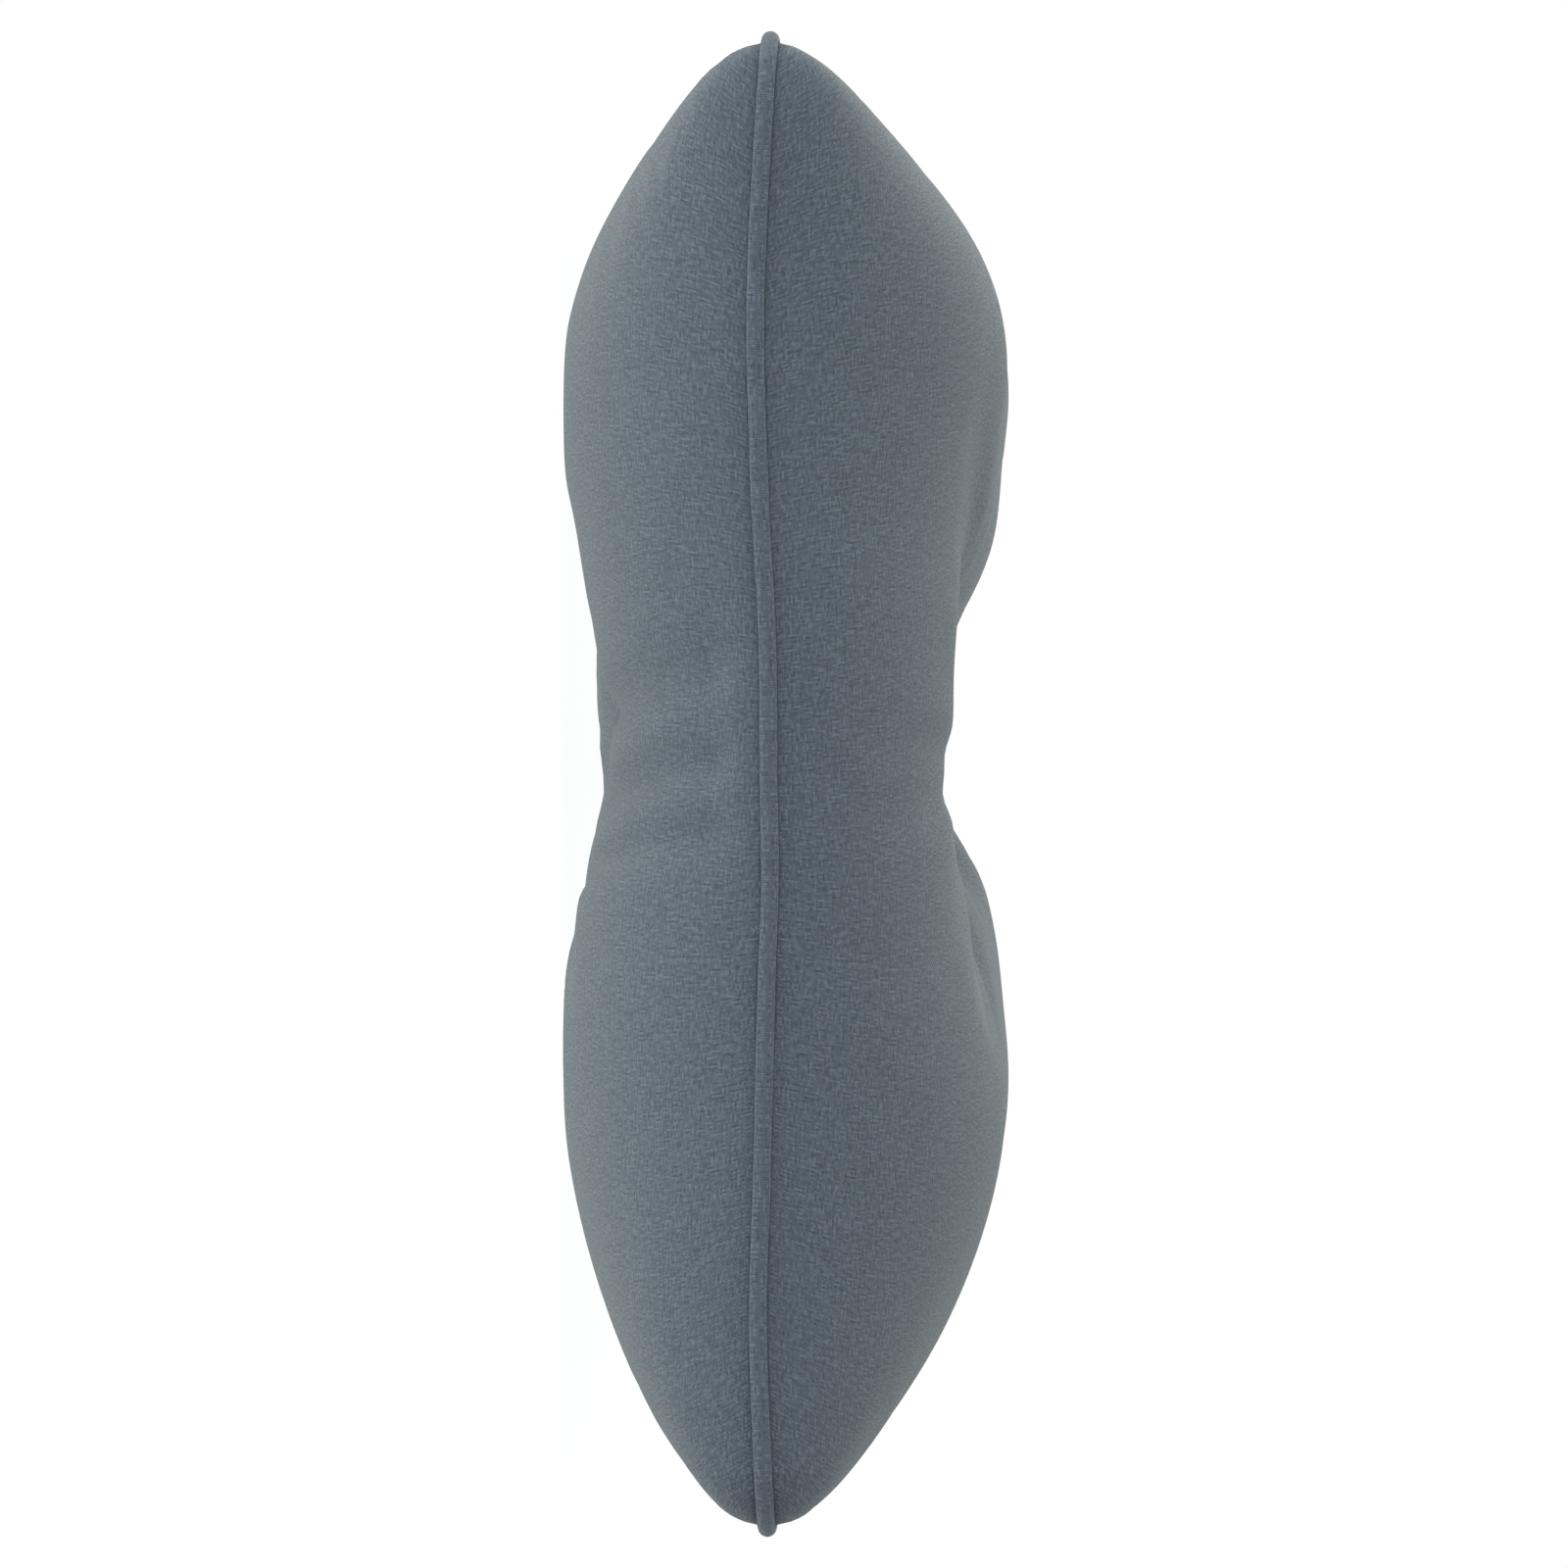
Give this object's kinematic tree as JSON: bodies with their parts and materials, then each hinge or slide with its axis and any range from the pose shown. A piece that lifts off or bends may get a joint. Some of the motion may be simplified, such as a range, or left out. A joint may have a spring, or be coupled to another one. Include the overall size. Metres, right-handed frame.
{
  "type": "back cushion",
  "caption": "Knife-edged back cushion with piping round the seam, both faces drawn together across the middle, lying on its back",
  "frame": {"origin": "centre of the bounding box in plan, at the height of the surface the cushion lies on", "axes": "+X across the width, +Y up the height to the top edge, +Z out of the front face, back face down"},
  "size_m": [0.61, 0.56, 0.1687],
  "materials": {
    "cover_cloth": "matt slate grey-blue plain weave",
    "piping_cloth": "matt slate grey-blue plain weave over cord"
  },
  "bodies": {
    "root": {"cushion": "cover_cloth", "piping": "piping_cloth"}
  },
  "joints": []
}
